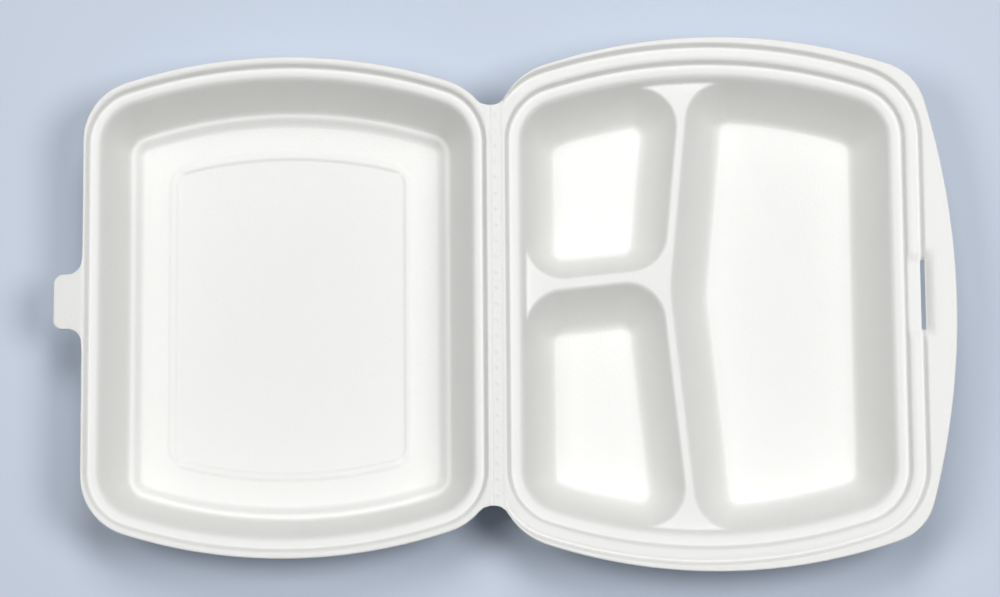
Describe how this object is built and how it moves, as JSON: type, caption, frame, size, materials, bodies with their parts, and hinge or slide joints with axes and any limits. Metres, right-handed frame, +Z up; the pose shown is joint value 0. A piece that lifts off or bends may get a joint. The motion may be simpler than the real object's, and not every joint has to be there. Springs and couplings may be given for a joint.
{
  "type": "hinged foam clamshell container",
  "caption": "Open foam take-away box: a tray with drafted compartments and a domed lid, formed from one sheet and joined by a living hinge, with a lock tab and a slot.",
  "frame": {"origin": "middle of the footprint of the opened container, on the surface that it lies on", "axes": "+X from the lid across the hinge to the tray, +Y along the hinge towards the back, +Z up"},
  "size_m": [0.407, 0.2424, 0.0404],
  "materials": {
    "foam": "white foamed polystyrene with a smooth satin skin"
  },
  "bodies": {
    "tray": {"tray": "foam"},
    "lid": {"lid": "foam"}
  },
  "joints": [
    {"name": "lid_hinge", "type": "hinge", "parent": "tray", "child": "lid", "pos_m": [-0.0034, 0, 0.038], "axis": [0, 1, 0], "range_deg": [0, 179.9]}
  ]
}
